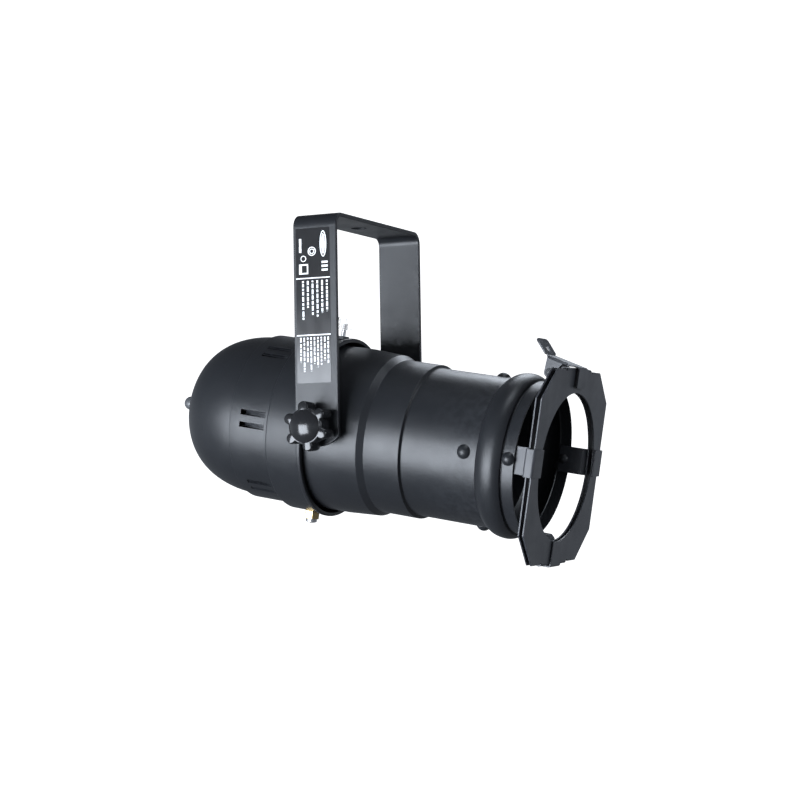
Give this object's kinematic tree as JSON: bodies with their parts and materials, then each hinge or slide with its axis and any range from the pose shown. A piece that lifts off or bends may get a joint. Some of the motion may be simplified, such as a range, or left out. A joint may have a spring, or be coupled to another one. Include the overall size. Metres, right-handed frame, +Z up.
{
  "type": "parabolic lamp can spotlight",
  "caption": "Long cylindrical stage lamp can with a domed vented rear housing, flat-strap yoke, star knobs and a sprung octagonal colour-frame holder.",
  "frame": {"origin": "centre of the yoke's hanging hole at the yoke's top face", "axes": "+Z up out of the hanging hole, the beam leaves towards -Y dipping 9.5 degrees, +X along the tilt axis"},
  "size_m": [0.169, 0.2973, 0.2291],
  "materials": {
    "black_coat": "fine-textured satin black powder coat",
    "frame_coat": "smooth satin black lacquer",
    "dark_metal": "blackened nut",
    "steel": "zinc plated",
    "brass": "bare brass",
    "tinned": "tinned",
    "clear_plastic": "clear moulded plastic",
    "knob_plastic": "black moulded plastic",
    "label": "black printed film",
    "rubber": "moulded rubber",
    "ceramic": "glazed ceramic",
    "reflector": "aluminised glass",
    "lens_glass": "clear pressed glass"
  },
  "bodies": {
    "yoke": {"yoke_bracket": "black_coat", "rating_label": "label"},
    "can": {"barrel": "black_coat", "front_nosing": "black_coat", "nosing_rivets": "black_coat", "holder_rivets": "black_coat", "side_clip_left": "frame_coat", "side_clip_right": "frame_coat", "bottom_clip": "frame_coat", "latch_bracket": "frame_coat", "latch_pivot_screw": "steel", "latch_pivot_nut": "steel", "latch_spring": "steel", "frame_front_plate": "frame_coat", "frame_rear_plate": "frame_coat", "pivot_bush_left": "steel", "pivot_bush_right": "steel", "pivot_washer_left": "rubber", "pivot_washer_right": "rubber"},
    "latch": {"latch_lever": "frame_coat", "latch_leaf": "frame_coat"},
    "left_knob": {"knob_left": "knob_plastic", "knob_stud_left": "steel", "knob_washer_left": "steel"},
    "right_knob": {"knob_right": "knob_plastic", "knob_stud_right": "steel", "knob_washer_right": "steel"},
    "rear_housing": {"rear_dome": "black_coat", "vent_housing": "black_coat", "rear_stud": "dark_metal", "rear_washer": "black_coat", "rear_lock_nut": "black_coat", "rear_cap_nut": "dark_metal", "thumb_boss": "black_coat", "earth_nut": "brass", "earth_screw": "steel", "earth_lug": "tinned", "cable_grommet": "rubber", "holder_bracket": "steel", "holder_spacer": "steel", "lampholder_body": "ceramic", "lampholder_shell": "brass", "lampholder_contact": "brass", "lampholder_screws": "steel"},
    "thumb_screw": {"thumb_head": "clear_plastic", "thumb_shank": "steel"},
    "lamp": {"lamp_reflector": "reflector", "lamp_lens": "lens_glass", "lamp_base": "tinned", "lamp_contact": "tinned"}
  },
  "joints": [
    {"name": "yoke_tilt", "type": "hinge", "parent": "yoke", "child": "can", "pos_m": [0, 0, -0.1373], "axis": [1, 0, 0], "range_deg": [-62, 48]},
    {"name": "left_knob_turn", "type": "hinge", "parent": "can", "child": "left_knob", "pos_m": [-0.07, 0, -0.1373], "axis": [-1, 0, 0], "continuous": true},
    {"name": "right_knob_turn", "type": "hinge", "parent": "can", "child": "right_knob", "pos_m": [0.07, 0, -0.1373], "axis": [1, 0, 0], "continuous": true},
    {"name": "latch_hinge", "type": "hinge", "parent": "can", "child": "latch", "pos_m": [0, -0.13754, -0.10546], "axis": [-1, 0, 0], "range_deg": [0, 60], "stiffness_Nm_per_rad": 0.03, "springref_deg": -20.05},
    {"name": "rear_housing_slide", "type": "slide", "parent": "can", "child": "rear_housing", "axis": [0, 0.9863, 0.165], "range_m": [0, 0.07]},
    {"name": "thumb_screw_turn", "type": "hinge", "parent": "rear_housing", "child": "thumb_screw", "pos_m": [0, 0.01189, -0.06718], "axis": [0, -0.165, 0.9863], "continuous": true},
    {"name": "lamp_turn", "type": "hinge", "parent": "rear_housing", "child": "lamp", "pos_m": [0, 0.04961, -0.13082], "axis": [0, -0.9863, -0.165], "continuous": true}
  ]
}
